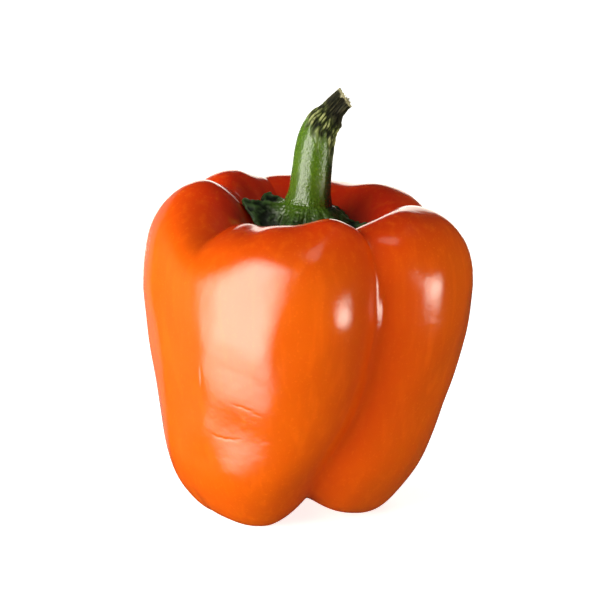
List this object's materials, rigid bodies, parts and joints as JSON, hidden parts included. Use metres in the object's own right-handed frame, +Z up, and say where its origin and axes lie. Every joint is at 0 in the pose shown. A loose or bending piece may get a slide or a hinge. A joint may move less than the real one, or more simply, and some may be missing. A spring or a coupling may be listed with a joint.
{
  "type": "bell pepper",
  "caption": "Blocky orange bell pepper standing upright on its lobed feet, with a deep groove, a dimpled crown, a toothed green calyx and a curved stem.",
  "frame": {"origin": "middle of the footprint, on the surface that the feet stand on", "axes": "+Z up along the stem, -Y towards the viewer of the picture, +X to the viewer's right"},
  "size_m": [0.0824, 0.0838, 0.107],
  "materials": {
    "skin": "smooth waxy orange skin with a soft gloss",
    "stem": "satin green stem, dark wrinkled calyx, dried brown-black tip with a straw-coloured cut end"
  },
  "bodies": {
    "root": {"fruit": "skin", "stem_calyx": "stem"}
  },
  "joints": []
}
